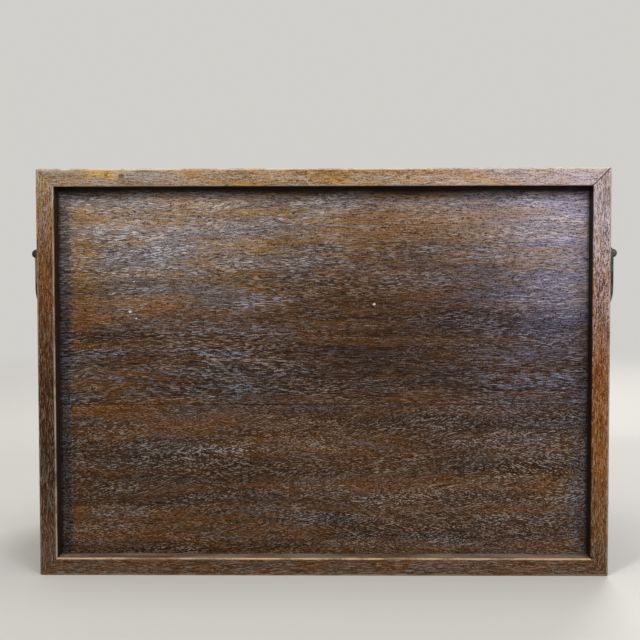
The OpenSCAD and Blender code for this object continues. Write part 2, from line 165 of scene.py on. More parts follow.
class Finish(Graph):
    """A material with one Principled shader, whose sockets are set by paint()."""

    def __init__(self, name):
        self.material = bpy.data.materials.new(name)
        self.material.use_nodes = True
        super().__init__(self.material.node_tree)
        self.surface = self.add("ShaderNodeBsdfPrincipled")
        self.output = self.add("ShaderNodeOutputMaterial", inputs={0: self.surface})
        self.mm = self.add("ShaderNodeVectorMath", {"operation": "SCALE"},
                           {0: self.add("ShaderNodeTexCoord", out="Object"),
                            "Scale": MM_IN_METRE})
        self.x, self.y, self.z = (self.add("ShaderNodeSeparateXYZ", inputs={0: self.mm}, out=axis)
                                  for axis in range(3))

    def vector(self, x, y, z):
        return self.add("ShaderNodeCombineXYZ", inputs={0: x, 1: y, 2: z})

    def noise(self, place, size, detail=2.0, rough=0.5):
        """Cloudy noise whose lumps measure size, in millimetres along the three directions."""
        scaled = self.add("ShaderNodeVectorMath", {"operation": "DIVIDE"}, {0: place, 1: size})
        return self.add("ShaderNodeTexNoise", {"noise_dimensions": "3D"},
                        {"Vector": scaled, "Scale": 1.0, "Detail": detail, "Roughness": rough})

    def grains(self, place, size):
        """Scattered grains: the distance to the nearest of the points, one to each size."""
        scaled = self.add("ShaderNodeVectorMath", {"operation": "DIVIDE"}, {0: place, 1: size})
        return self.add("ShaderNodeTexVoronoi", {"feature": "F1"}, {"Vector": scaled, "Scale": 1.0})

    def tint(self, factor, base, red, green, blue):
        """The base colour multiplied by three numbers, which may be over 1, where factor is 1."""
        if isinstance(red, Value):
            return self.mix(factor, base, self.vector(red, green, blue), "MULTIPLY")
        return self.mix(factor, base, (red, green, blue, 1.0), "MULTIPLY")

    def spot(self, x, z, wide, high):
        """1 in the middle of an oval on the back of the box, and a smooth fall to 0 at its rim."""
        across = (self.x - x) / wide
        up = (self.z - z) / high
        return ((across * across + up * up) ** 0.5).ramp(1.0, 0.0)

    def relief(self, height, depth_mm, strength=1.0):
        """The normal of a surface whose height goes from 0 to 1 over depth_mm."""
        return self.add("ShaderNodeBump", inputs={
            "Height": height, "Distance": depth_mm / MM_IN_METRE, "Strength": strength})

    def paint(self, **sockets):
        """Sets or links the sockets of the shader, named with _ for a space."""
        for key, value in sockets.items():
            socket = self.surface.socket.node.inputs[key.replace("_", " ")]
            if isinstance(value, Value):
                self.tree.links.new(value.socket, socket)
            else:
                socket.default_value = value


def disc(name, reach, sides):
    """A flat disc: its rim goes round at one reach, in as many equal steps as it has sides."""
    turns = np.linspace(0.0, 2.0 * math.pi, sides, endpoint=False)
    rim = np.stack([np.cos(turns), np.sin(turns), np.zeros(sides)], axis=1) * reach
    sheet = bpy.data.meshes.new(name)
    sheet.from_pydata(rim.tolist(), [], [list(range(sides))])
    return bpy.data.objects.new(name, sheet)


floor = disc("floor", FLOOR_REACH, FLOOR_SIDES)
bpy.context.scene.collection.objects.link(floor)
floor_finish = Finish("floor_paint")
floor_finish.paint(Base_Color=PALE, Roughness=FLOOR_ROUGHNESS)
far = ((floor_finish.x * floor_finish.x + floor_finish.y * floor_finish.y) ** 0.5).ramp(
    FLOOR_MELTS_FROM, FLOOR_MELTS_TO)
haze = floor_finish.add("ShaderNodeEmission", inputs={"Color": PALE})
melted = floor_finish.add("ShaderNodeMixShader", inputs={
    0: far * floor_finish.shown(), 1: floor_finish.surface, 2: haze})
floor_finish.tree.links.new(melted.socket, floor_finish.output.inputs[0])
floor.data.materials.append(floor_finish.material)

surround = bpy.data.worlds.new("surround")
surround.use_nodes = True
sky = Graph(surround.node_tree)
lit = sky.add("ShaderNodeBackground", inputs={"Color": PALE, "Strength": SURROUND_STRENGTH})
seen = sky.add("ShaderNodeBackground", inputs={"Color": PALE, "Strength": 1.0})
both = sky.add("ShaderNodeMixShader", inputs={0: sky.shown(), 1: lit, 2: seen})
sky.add("ShaderNodeOutputWorld", inputs={0: both})
bpy.context.scene.world = surround
bpy.context.scene.view_settings.view_transform = "Standard"


def soft_box(name, place, aim, side, power, tint):
    """A square lamp of that side and power, turned to the point that it lights."""
    lamp = bpy.data.lights.new(name, "AREA")
    lamp.size = side
    lamp.energy = power
    lamp.color = tint
    box = bpy.data.objects.new(name, lamp)
    box.location = place
    box.rotation_euler = (Vector(aim) - Vector(place)).to_track_quat("-Z", "Y").to_euler()
    bpy.context.scene.collection.objects.link(box)


MIDDLE = (0.0, 0.0, 0.15)
BACK_HALF = (0.0, 0.1, 0.15)
FRONT_HALF = (0.0, -0.1, 0.15)
soft_box("box_left", (1.45, 2.20, 1.75), BACK_HALF, side=0.45, power=41, tint=(1.0, 0.98, 0.95))
soft_box("box_right", (-1.30, 2.30, 1.95), BACK_HALF, side=1.0, power=28, tint=(0.96, 0.98, 1.0))
soft_box("box_over", (0.0, 0.10, 2.20), MIDDLE, side=1.2, power=16, tint=(1.0, 0.99, 0.97))
soft_box("box_front", (-0.9, -2.5, 1.80), FRONT_HALF, side=1.2, power=44, tint=(1.0, 0.98, 0.96))

# ---- Case boards ----------------------------------------------------------------------------
# Four boards of an open-pored hardwood, 13 mm thick, mitred at the corners. They are stained
# brown and oiled. The back edges, which the panel lies behind, are rubbed: golden along the
# top, orange brown down the ends, dark at the foot, with pale dust in the pores. Toward the top,
# and most at the top right, a painted sheen pales them to grey and lilac.
SOOT = colour(14, 9, 7)
UMBER = colour(44, 27, 16)
BROWN = colour(74, 47, 28)
CHESTNUT = colour(108, 60, 26)
RUBBED = colour(126, 92, 58)
BARE_AND_HIGHLIGHT = colour(218, 202, 184)
BARE_FOOT_AND_HIGHLIGHT = colour(206, 172, 134)
DUST = colour(112, 98, 86)
DUST_AND_LIGHT_ON_LEDGE = colour(150, 132, 118)
OLD_WAX_AND_GLINT = colour(150, 126, 98)
GOLD = colour(164, 122, 52)
BRIGHT_GOLD = colour(214, 164, 64)
GOLD_DUST = colour(164, 148, 126)
GOLD_WAX_AND_GLINT = colour(212, 184, 134)
# The tones of the rubbed back edges from the foot, 0, to the top, 1, on the left and the right.
# Their pale grey and lilac top stops are painted sheen over the rubbed tones.
LEFT_EARTH_AND_SHEEN = [(0.0, colour(90, 58, 26)), (0.25, colour(50, 27, 6)), (0.5, colour(66, 35, 6)),
              (0.78, colour(110, 66, 18)), (0.93, colour(142, 104, 52)), (1.0, colour(166, 142, 110))]
RIGHT_EARTH_AND_SHEEN = [(0.0, colour(84, 56, 27)), (0.25, colour(120, 74, 20)), (0.5, colour(118, 66, 18)),
               (0.7, colour(136, 92, 50)), (0.88, colour(180, 158, 154)),
               (1.0, colour(184, 160, 150))]
LEFT_DUST_AND_SHEEN = [(0.0, colour(80, 72, 68)), (0.25, colour(62, 44, 26)), (0.5, colour(72, 48, 26)),
             (0.78, colour(108, 80, 50)), (1.0, colour(158, 160, 168))]
RIGHT_DUST_AND_SHEEN = [(0.0, colour(88, 79, 77)), (0.25, colour(122, 86, 46)), (0.5, colour(146, 98, 48)),
              (0.82, colour(200, 192, 214)), (1.0, colour(200, 192, 208))]
GLOSS = 0.10
# How strongly the recess walls are darkened toward soot as painted shade; one wall is darkened less.
WALL_SHADE = 0.88
LIGHTER_WALL_SHADE = 0.50
# Knots in the back edge of the top board: x, z and radius in millimetres.
KNOTS = ((147.0, 294.6, 2.8), (158.5, 295.2, 1.5), (-62.0, 293.0, 2.0))
# The places of the case's faces and edges, in millimetres.
BACK_Y = 115.0
PANEL_Y = 101.0
INNER_X = 197.0
OUTER_X = 210.0
INNER_FOOT_Z = 13.0
INNER_TOP_Z = 287.0
OUTER_TOP_Z = 300.0
# Ovals on the back edges, as x, z, half width and half height: where the top is rubbed golden,
# where it shines brightest, and where one corner shows a painted lilac sheen.
GOLDEN_PART = (-10.0, 296.0, 150.0, 34.0)
BRIGHT_PART = (160.0, 297.0, 24.0, 7.0)
LILAC_SHEEN_CORNER = (-205.0, 292.0, 75.0, 70.0)
CORNER_CRACK = 0.6
HAIRLINE = 0.75


class Wood:
    """Open-pored wood along one axis: bands, blots, strokes and pores, all from its place.

    curl is how much the fibres weave, dash how long one shows, blot how far the blots reach
    along and across the grain in millimetres, and turn how much the fibres of interlocked
    grain lean, as a slope, from one ribbon to the next. slant turns the rings of the board, so
    that its two wide faces and its two narrow ones all cut them finely.

    Each value is a cloud of lumps, LUMPS giving their length along the grain, across it and into
    the board in millimetres. It is read at the place bent across the grain by the drift and the
    weave, and the strokes also at a place that jogs along the grain from one fibre to the next."""

    LUMPS = {
        "drift": (160.0, 60.0, 60.0), "weave": (17.0, 34.0, 40.0), "bands": (190.0, 15.0, 24.0),
        "streaks": (85.0, 2.6, 7.0), "drifts": (52.0, 13.0, 20.0), "ribbon": (260.0, 9.0, 20.0),
        "jog": (70.0, 1.5, 3.0), "grit": (1.15, 1.0, 1.1), "lines": (46.0, 0.95, 4.0),
    }
    ELSEWHERE = 471.0
    OTHER_GRAINS = 97.0

    def __init__(self, name, along, shift=0.0, sway=6.0, curl=0.6, dash=1.0, blot=(30.0, 14.0),
                 turn=0.04, slant=0.75):
        self.finish = Finish(name)
        f = self.finish
        axes = {"X": (f.x, f.z, f.y), "Y": (f.y, f.x, f.z), "Z": (f.z, f.x, f.y)}
        run, face, depth = axes[along]
        across = face + depth * slant
        deep = depth - face * slant
        plain = f.vector(run + shift, across, deep)
        drift = f.noise(plain, self.LUMPS["drift"], 1.0) - 0.5
        weave = f.noise(plain, self.LUMPS["weave"], 1.0) - 0.5
        bent = across + drift * (sway * 3.0) + weave * (curl * 10.0)
        self.place = f.vector(run + shift, bent, deep)
        self.bands = f.noise(self.place, self.LUMPS["bands"], 3.0, 0.6)
        self.streaks = f.noise(self.place, self.LUMPS["streaks"], 3.0, 0.62)
        self.drifts = f.noise(self.place, self.LUMPS["drifts"], 2.0, 0.55)
        self.blots = f.noise(self.place, (blot[0], blot[1], 20.0), 4.0, 0.60)
        elsewhere = f.vector(run + (shift + self.ELSEWHERE), bent, deep)
        self.stains = f.noise(elsewhere, (blot[0] * 1.2, blot[1] * 1.1, 24.0), 4.0, 0.60)
        ribbon = (f.noise(plain, self.LUMPS["ribbon"], 1.0) - 0.5) * 9.0
        lean = f.add("ShaderNodeMath", {"operation": "ROUND"}, {0: ribbon}) * (turn / 3.0)
        jog = run + f.noise(self.place, self.LUMPS["jog"], 1.0) * (70.0 * dash) + shift
        leaning = bent - run * lean
        stroke = f.vector(jog, leaning, deep)
        other_stroke = f.vector(jog + self.OTHER_GRAINS, leaning, deep)
        self.dashes = f.noise(stroke, (9.0 * dash, 0.98, 1.6), 1.5, 0.60)
        self.speckle = f.noise(stroke, (2.8 * dash, 0.90, 1.3), 1.0, 0.5)
        self.grit = f.noise(plain, self.LUMPS["grit"], 1.0, 0.6)
        self.lines = f.noise(self.place, self.LUMPS["lines"], 2.0, 0.5)
        self.pores = f.grains(stroke, (5.0 * dash, 1.20, 2.0))
        self.glints = f.grains(other_stroke, (10.0 * dash, 0.72, 1.6))

    def fibres(self, long_share=0.4):
        """The fine light and dark of the fibres, from 0 to 1 and on average 0.5.

        It is the sum of the dashes, the speckle and the grit, whose shares add up to 1."""
        return self.dashes * long_share + self.speckle * (0.65 - long_share) + self.grit * 0.35

    def grained(self, coat, fibres, dark, dust_and_sheen, haze, wax_and_glint, glint, pores=0.85):
        """A coat with dark fibres, dust between them, wax in some pores and others black; the wax
        carries painted glints, and a pale dust colour carries painted sheen.
        """
        f = self.finish
        coat = f.tint(fibres.ramp(0.49, 0.42) * dark, coat, 0.28, 0.28, 0.34)
        coat = f.tint(self.lines.ramp(0.40, 0.34) * dark, coat, 0.50, 0.48, 0.50)
        coat = f.mix((fibres + (self.streaks - 0.5) * 0.25).ramp(0.46, 0.56) * haze, coat, dust_and_sheen)
        coat = f.mix((self.glints - (fibres - 0.5)).ramp(0.42, 0.26) * glint, coat, wax_and_glint)
        return f.mix((self.pores + (fibres - 0.5) * 0.6).ramp(0.38, 0.20) * pores, coat, SOOT)


def clothe(node, finish):
    """Puts one finish on a whole node."""
    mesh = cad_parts[node].data
    mesh.materials.clear()
    mesh.materials.append(finish.material)


def arris(first, first_at, second, second_at, reach):
    """1 on the edge where two faces meet, and 0 from a few millimetres away on either face."""
    one = first - first_at
    two = second - second_at
    return ((one * one + two * two) ** 0.5).ramp(reach, reach * 0.35)


def stained(wood, fibres, warmth):
    """The stained and oiled coat of the faces that were never waxed, with a little dust."""
    f = wood.finish
    woven = fibres - 0.5
    coat = f.mix((wood.bands * 0.55 + wood.streaks * 0.45).ramp(0.38, 0.62), UMBER, BROWN)
    coat = f.mix(wood.streaks.ramp(0.50, 0.68) * (warmth + 0.25), coat, CHESTNUT)
    coat = f.tint((wood.blots + woven).ramp(0.46, 0.62) * (warmth + 0.2), coat, 1.55, 1.22, 0.70)
    cool = (wood.stains - woven).ramp(0.48, 0.62)
    # Pale strokes of old wax in the pores carry painted glints.
    return wood.grained(coat, fibres, 0.7, DUST, 0.16 + cool * 0.40, OLD_WAX_AND_GLINT, 0.20 + cool * 0.20)


def handled(f, coat, wood, rosettes, axis, grip):
    """The coat round a pull or handle: dark at its rosettes, rubbed behind its grip.

    rosettes and grip are boxes in metres, and axis is the direction that they lie along. The dark
    goes down with the distance to the nearest rosette, and the rub is an oval over the grip."""
    along = (f.x, f.y)[axis]
    middle = (rosettes[0][2] + rosettes[1][2]) * MM_IN_METRE / 2.0
    reach = (rosettes[1][2] - rosettes[0][2]) * MM_IN_METRE / 2.0
    first = rosettes[0][axis] * MM_IN_METRE + reach
    last = rosettes[1][axis] * MM_IN_METRE - reach
    centre = (first + last) / 2.0
    off = abs(abs(along - centre) - (last - first) / 2.0)
    up = f.z - middle
    gap = (off * off + up * up) ** 0.5 + (wood.blots - 0.5) * 6.0
    coat = f.tint(gap.ramp(reach * 2.0, reach * 0.9) * 0.65, coat, 0.42, 0.40, 0.42)
    low_z = grip[0][2] * MM_IN_METRE
    across = (along - centre) / (last - first)
    down = (f.z - low_z) / (reach * 2.2)
    rub = ((across * across + down * down) ** 0.5 + (wood.blots - 0.5) * 0.8).ramp(1.0, 0.35)
    return f.mix(rub * 0.35, coat, CHESTNUT)


def near_arrises(f, node, along):
    """How far a place is, in millimetres, from the nearest edge along the board."""
    half_mm = MM_IN_METRE / 2.0
    low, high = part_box(node)
    gaps = []
    for place, axis in ((f.x, 0), (f.y, 1), (f.z, 2)):
        if "XYZ"[axis] != along:
            gaps.append((high[axis] - low[axis]) * half_mm
                        - abs(place - (low[axis] + high[axis]) * half_mm))
    return (gaps[0] * gaps[0] + gaps[1] * gaps[1]) ** 0.5


def case_board(node, along, shift, inner_wear_and_highlight, outer_wear_and_highlight):
    """The finish of one case board, with how strongly each of its back arrises shows.

    The stained coat covers the board, and the rubbed coat lies over it on the back edge alone, paled
    toward the top by a painted sheen. Over both come the arrises, worn bare and with a painted
    highlight, the painted shade of the recess walls and the hairlines of the mitres."""
    wood = Wood(node + "_wood", along, shift, sway=3.0, curl=0.35, dash=0.65, blot=(26.0, 7.0),
                turn=0.02)
    f = wood.finish
    fibres = wood.fibres(0.35)

    stain = stained(wood, fibres, 0.35)
    faces = near_arrises(f, node, along)
    worn = 0.12 + (wood.stains + (fibres - 0.5) * 0.8).ramp(0.42, 0.60) * 0.50
    stain = f.mix((faces + (wood.blots - 0.5) * 2.4).ramp(2.0, 0.4) * worn, stain, RUBBED)
    if node in ("case_left_side", "case_right_side"):
        end = "left" if node == "case_left_side" else "right"
        stain = handled(f, stain, wood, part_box(end + "_handle_rosettes"), 1,
                        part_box(end + "_handle_bail"))
    if node == "case_top":
        settled = f.z.ramp(299.2, 299.8) * (wood.stains + (fibres - 0.5) * 0.8).ramp(0.44, 0.62)
        stain = f.mix(settled * 0.16, stain, DUST)

    height = f.z / OUTER_TOP_Z
    rightwards = f.x.ramp(130.0, -200.0)
    tones = []
    for left, right in ((LEFT_EARTH_AND_SHEEN, RIGHT_EARTH_AND_SHEEN), (LEFT_DUST_AND_SHEEN, RIGHT_DUST_AND_SHEEN)):
        tones.append(f.mix(rightwards,
                           f.add("ShaderNodeValToRGB", {"stops": left}, {0: height}),
                           f.add("ShaderNodeValToRGB", {"stops": right}, {0: height})))
    golden = f.spot(*GOLDEN_PART)
    earth = f.mix(golden * 0.85, tones[0], GOLD)
    dust_and_sheen = f.mix(golden * 0.6, tones[1], GOLD_DUST)
    woven = (fibres - 0.5) * 0.6
    lilac_sheen_corner = f.spot(*LILAC_SHEEN_CORNER)
    warm = (wood.blots + woven).ramp(0.42, 0.60) * (1.0 - lilac_sheen_corner * 0.8)
    rubbed = f.tint(warm, earth, 1.14, 0.94, 0.60)
    low = f.z.ramp(120.0, 20.0)
    mottle = (wood.blots * 0.5 + wood.bands * 0.5 + low * 0.025).ramp(0.49, 0.40)
    rubbed = f.tint(mottle * (0.6 + low * 0.3), rubbed, 0.55, 0.50, 0.45)
    rubbed = f.tint(low * 0.5, rubbed, 1.16, 1.16, 1.12)
    grey = (wood.stains + woven).ramp(0.44, 0.60)
    # The wax strokes on the back edges carry painted glints.
    wax_and_glint = f.mix(golden * 0.8, f.mix(0.40, dust_and_sheen, BARE_AND_HIGHLIGHT), GOLD_WAX_AND_GLINT)
    pores = 0.60 if node == "case_top" else 0.85
    rubbed = wood.grained(rubbed, fibres, 0.85, dust_and_sheen, 0.15 + grey * 0.70, wax_and_glint,
                          0.40 + rightwards * 0.15, pores)

    if node == "case_top":
        bright = f.spot(*BRIGHT_PART) * fibres.ramp(0.40, 0.54)
        rubbed = f.mix(bright * 0.75, rubbed, BRIGHT_GOLD)
        for x, z, radius in KNOTS:
            knot = f.spot(x, z, radius * 1.3, radius) + (fibres - 0.5) * 0.8
            rubbed = f.mix(knot.ramp(0.10, 0.60) * 0.60, rubbed, SOOT)

    ragged = (wood.blots - 0.5) * 3.0 + (wood.speckle - 0.5) * 2.0
    back_edge = (f.y + ragged).ramp(BACK_Y - 3.6, BACK_Y - 0.8)
    if node == "case_bottom":
        back_edge = back_edge.most(f.y.ramp(PANEL_Y - 6.0, PANEL_Y - 4.0)
                                   * f.z.ramp(INNER_FOOT_Z - 0.5, INNER_FOOT_Z - 0.1))
    coat = f.mix(back_edge, stain, rubbed)
    if node == "case_bottom":
        # The ledge at the foot of the recess, which faces up, is paled with dust and with painted
        # light.
        lit_ledge = f.z.ramp(INNER_FOOT_Z - 0.6, INNER_FOOT_Z - 0.2)
        coat = f.mix(lit_ledge * (0.10 + (fibres + wood.drifts - 0.5).ramp(0.36, 0.66) * 0.60), coat,
                     DUST_AND_LIGHT_ON_LEDGE)

    # The back arrises are paled, worn bare and with a painted highlight, as strongly as each board is
    # given.
    side = abs(f.x)
    inner = {"X": (f.z, INNER_TOP_Z if node == "case_top" else INNER_FOOT_Z),
             "Z": (side, INNER_X)}[along]
    outer = {"X": (f.z, OUTER_TOP_Z if node == "case_top" else 0.0), "Z": (side, OUTER_X)}[along]
    wander = (wood.blots - 0.5) * 1.6
    inner_line = arris(f.y + wander, BACK_Y, inner[0], inner[1], 1.5) * inner_wear_and_highlight
    outer_line = arris(f.y + wander, BACK_Y, outer[0], outer[1], 1.8) * outer_wear_and_highlight
    lines = inner_line.most(outer_line) * (0.30 + (wood.stains + woven).ramp(0.38, 0.58) * 0.70)
    coat = f.mix(lines, coat, BARE_FOOT_AND_HIGHLIGHT if node == "case_bottom" else BARE_AND_HIGHLIGHT)

    # The walls of the recess behind the panel are darkened toward soot as painted shade.
    if along == "Z":
        inwards = side.ramp(INNER_X + 0.5, INNER_X + 0.1)
    elif node == "case_top":
        inwards = f.z.ramp(INNER_TOP_Z + 0.5, INNER_TOP_Z + 0.1)
    else:
        inwards = 0.0
    recess_wall_shade = inwards * f.y.ramp(PANEL_Y - 6.0, PANEL_Y - 4.0) * f.y.ramp(BACK_Y - 0.2, BACK_Y - 1.4)
    wall_shade_strength = LIGHTER_WALL_SHADE if node == "case_right_side" else WALL_SHADE
    coat = f.mix(recess_wall_shade * wall_shade_strength, coat, SOOT)

    # The mitres show as hairlines on the back edges, and one has opened at its corner.
    middle = (INNER_TOP_Z + INNER_FOOT_Z) / 2.0
    opened = f.x.ramp(-180.0, -190.0) * f.z.ramp(280.0, 285.0)
    mitre = abs((abs(f.z - middle) - (INNER_TOP_Z - middle)) - (side - INNER_X)
                + (wood.blots - 0.5) * 1.5 - opened * CORNER_CRACK)
    hairline = mitre.ramp(HAIRLINE, HAIRLINE / 3.0) * (0.25 + opened * 0.70)
    coat = f.mix(hairline * f.y.ramp(BACK_Y - 2.0, BACK_Y - 1.0), coat, SOOT)
    f.paint(Base_Color=coat, Roughness=0.42 + wood.grit * 0.25, Specular_IOR_Level=GLOSS,
            Normal=f.relief(fibres * 1.4, 0.20, 0.6))
    clothe(node, f)


case_board("case_top", "X", shift=0.0, inner_wear_and_highlight=0.10, outer_wear_and_highlight=0.80)
case_board("case_bottom", "X", shift=700.0, inner_wear_and_highlight=0.85, outer_wear_and_highlight=0.35)
case_board("case_left_side", "Z", shift=1300.0, inner_wear_and_highlight=0.0, outer_wear_and_highlight=0.40)
case_board("case_right_side", "Z", shift=2100.0, inner_wear_and_highlight=0.50, outer_wear_and_highlight=0.15)

# ---- Back panel -----------------------------------------------------------------------------
# Two thin boards glued edge to edge and let into grooves round the case, stained dark and waxed.
# Dust lies in the pores, and a painted sheen with some pale dust in it lies on the upper board,
# most at its two top corners; the lower board has a woven, speckled figure. The corners are
# darkened with painted shadow.
JOINT_Z = 125.6
DARK_BAND_Z = 39.5
# Ovals where the painted sheen lies pale, with some pale dust in it; where little wax or dust lies;
# and where the painted sheen along the top is thin: x, z, half width and half height in millimetres.
LEFT_SHEEN_PART = (118.0, 285.0, 205.0, 114.0)
RIGHT_SHEEN_PART = (-205.0, 290.0, 140.0, 134.0)
CALM_PART = (-45.0, 168.0, 115.0, 75.0)
THIN_PART = (-58.0, 250.0, 70.0, 60.0)
PANEL_EARTH = colour(84, 54, 24)
PANEL_DARK = colour(54, 34, 17)
# The pale tones for the top corners, of the ground, of the dust and of the wax, are painted sheen.
SHEEN_TONE_LEFT = colour(176, 154, 138)
SHEEN_TONE_RIGHT = colour(222, 198, 196)
DUST_LOW = colour(84, 79, 77)
DUST_LILAC = colour(80, 80, 104)
DUST_STRIP = colour(86, 87, 94)
SHEEN_DUST_LEFT = colour(120, 129, 150)
SHEEN_DUST_RIGHT = colour(168, 166, 204)
WAX_AND_GLINT_LOW = colour(158, 142, 126)
WAX_AND_GLINT_BLUE = colour(146, 150, 168)
SHEEN_WAX_LEFT = colour(228, 229, 234)
SHEEN_WAX_RIGHT = colour(250, 238, 238)
# Where the stain shows warm (over 0) and where it has gone slate blue (under 0): x, z, the
# half width and half height in millimetres, and how strongly.
PATCHES = (
    (178, 266, 14, 12, 1.3), (180, 205, 18, 62, 1.2), (-80, 255, 110, 26, 1.0),
    (150, 124, 50, 14, 0.9), (182, 55, 20, 24, 0.9), (-168, 62, 16, 14, 0.8),
    (-60, 82, 130, 16, 0.6), (100, 60, 60, 12, 0.5),
    (128, 232, 50, 26, -0.9), (16, 231, 36, 11, -0.9), (70, 201, 60, 14, -0.8),
    (-172, 180, 42, 55, -0.7), (0, 39, 44, 8, -0.9), (155, 32, 26, 14, -0.4),
    (96, 92, 70, 9, -1.1), (60, 150, 60, 60, -0.5), (-165, 95, 45, 30, -0.5),
)
# Where pale wax has gathered in the pores, with painted glints on it: x, z, half width, half height
# and how strongly.
CLUSTERS = ((78, 91, 36, 9, 0.45), (12, 235, 26, 7, 0.50), (40, 201, 30, 9, 0.35),
            (-150, 144, 44, 10, 0.30), (150, 226, 44, 12, 0.25), (0, 42, 60, 5, 0.40),
            (72, 172, 62, 26, 0.28), (102, 84, 62, 24, 0.32), (-160, 92, 45, 34, 0.36))
CHALK = colour(206, 204, 200)
PINKISH = colour(160, 112, 90)
# Marks of use: x, z, radius in millimetres, and the colour that shows there.
MARKS = (
    (-77.3, 177.4, 1.5, SOOT), (177.5, 196.0, 1.3, SOOT), (144.0, 195.0, 1.5, CHALK),
    (139.5, 190.0, 0.9, CHALK), (141.0, 217.5, 0.8, CHALK), (-38.0, 200.4, 1.3, CHALK),
    (50.0, 220.0, 2.4, PINKISH), (16.0, 252.0, 1.2, SOOT), (8.0, 249.5, 1.0, SOOT),
)


def panel_board(node, shift, sway, curl, dash, long_share, turn):
    """The finish of one panel board.

    A dark or earthy ground is lightened by the bloom, a painted sheen with some pale dust in it,
    warmed where the amber shows and cooled where the slate does. Dust and wax with painted glints
    lie between the fibres, then come the marks, the joint and the painted shadow along the walls.
    The amber and the slate are clouds pushed up or down by the patches."""
    wood = Wood(node + "_wood", "X", shift, sway, curl, dash, blot=(64.0, 9.0), turn=turn,
                slant=0.0)
    f = wood.finish
    fibres = wood.fibres(long_share)
    # The bloom is painted sheen, the lamps' reflection in the wax, pale over the two top corners and
    # along the top, with some pale dust in it.
    sheen_left = f.spot(*LEFT_SHEEN_PART) * 0.97
    sheen_right = f.spot(*RIGHT_SHEEN_PART)
    lilac = f.x.ramp(-20.0, -150.0) * f.z.ramp(92.0, 135.0)
    sheen_top = f.z.ramp(200.0, 285.0) * (0.56 - f.spot(*THIN_PART) * 0.36)
    bloom = sheen_left.most(sheen_right).most(sheen_top)
    bloom = bloom * (0.75 + wood.drifts.ramp(0.40, 0.60) * 0.25)
    calm = 1.0 - f.spot(*CALM_PART) * 0.7
    rightwards = f.x.ramp(60.0, -160.0)

    low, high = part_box(node)
    foot = low[2] * MM_IN_METRE
    head = high[2] * MM_IN_METRE
    push = 0.0
    for x, z, wide, tall, strength in PATCHES:
        if foot - tall < z < head + tall:
            push = f.spot(x, z, wide, tall) * (0.20 * strength) + push
    woven = (fibres - 0.5) * 1.1 + (wood.streaks - 0.5) * 0.4
    amber = (wood.blots + woven + push).ramp(0.44, 0.62) * (1.0 - sheen_right * 0.20) * calm
    amber = amber * (1.0 - lilac * 0.25)
    slate = (wood.stains - woven - push).ramp(0.46, 0.62)
    dusty_corner = rightwards * f.z.ramp(150.0, 60.0)
    left_shadow_and_dust = f.x.ramp(187.2, 188.6) * f.z.ramp(276.0, 236.0)
    right_strip = (f.x + (wood.blots - 0.5) * 14.0).ramp(-182.0, -190.0) * f.z.ramp(150.0, 90.0)
    strips = left_shadow_and_dust.most(right_strip)
    coat = f.mix(wood.bands.ramp(0.38, 0.62), PANEL_DARK, PANEL_EARTH)
    coat = f.mix(bloom * 0.9, coat, f.mix(rightwards, SHEEN_TONE_LEFT, SHEEN_TONE_RIGHT))
    lower = f.z.ramp(126.0, 110.0)
    coat = f.tint(amber, coat, 1.52 - bloom * 0.28 - lower * 0.04,
                  1.19 - bloom * 0.25 + lower * 0.05, 0.40 + bloom * 0.12)
    coat = f.tint(lilac * (1.0 - amber * 0.6), coat, 0.80, 0.89, 1.12)
    coat = f.tint(1.0 - calm, coat, 0.80, 0.79, 0.84)
    coat = f.tint(slate * (0.15 + bloom * 0.65), coat, 0.88, 0.97, 1.14)
    # The strip down the left edge is darkened as a painted shadow of the case board, with grey dust
    # in it.
    coat = f.tint(left_shadow_and_dust * 0.6, coat, 0.66, 0.68, 0.78)
    dark_band = abs(f.z - DARK_BAND_Z + (wood.drifts - 0.5) * 12.0).ramp(5.0, 1.5)
    coat = f.tint(dark_band * 0.5, coat, 0.55, 0.58, 0.66)
    coat = f.tint((wood.streaks * 0.5 + wood.bands * 0.5).ramp(0.47, 0.40) * 0.45, coat,
                  0.60, 0.55, 0.52)
    dust_and_sheen = f.mix(bloom, f.mix(lilac, DUST_LOW, DUST_LILAC),
                 f.mix(rightwards, SHEEN_DUST_LEFT, SHEEN_DUST_RIGHT))
    dust_and_sheen = f.mix(strips, dust_and_sheen, DUST_STRIP)
    haze = (0.18 + slate * 0.70 + bloom * 0.35 + lilac * 0.18) * (1.0 - amber * 0.5) * calm
    haze = haze + strips * 0.35 + dusty_corner * 0.22
    veil = (0.46 + wood.drifts.ramp(0.42, 0.62) * 0.44) * (1.0 - amber * 0.4) * calm
    veil = veil + dusty_corner * 0.25
    for x, z, wide, tall, strength in CLUSTERS:
        if foot - tall < z < head + tall:
            veil = f.spot(x, z, wide, tall) * strength + veil
    # The wax strokes carry painted glints, palest under the painted sheen.
    wax_and_glint = f.mix(slate.most(strips).most(lilac * 0.8) * (1.0 - lower * 0.5), WAX_AND_GLINT_LOW, WAX_AND_GLINT_BLUE)
    wax_and_glint = f.mix(bloom, wax_and_glint, f.mix(rightwards, SHEEN_WAX_LEFT, SHEEN_WAX_RIGHT))
    coat = wood.grained(coat, fibres, 1.0, dust_and_sheen, haze, wax_and_glint, veil + bloom * 0.20)
    for x, z, radius, shade in MARKS:
        if foot < z < head:
            ragged = f.spot(x, z, radius * 1.2, radius) + woven
            coat = f.mix(ragged.ramp(0.10, 0.50) * 0.85, coat, shade)
    joint = abs(f.z - JOINT_Z + (wood.drifts - 0.5) * 0.8).ramp(0.7, 0.2)
    coat = f.mix(joint * (0.35 + wood.streaks.ramp(0.42, 0.55) * 0.35), coat, SOOT)
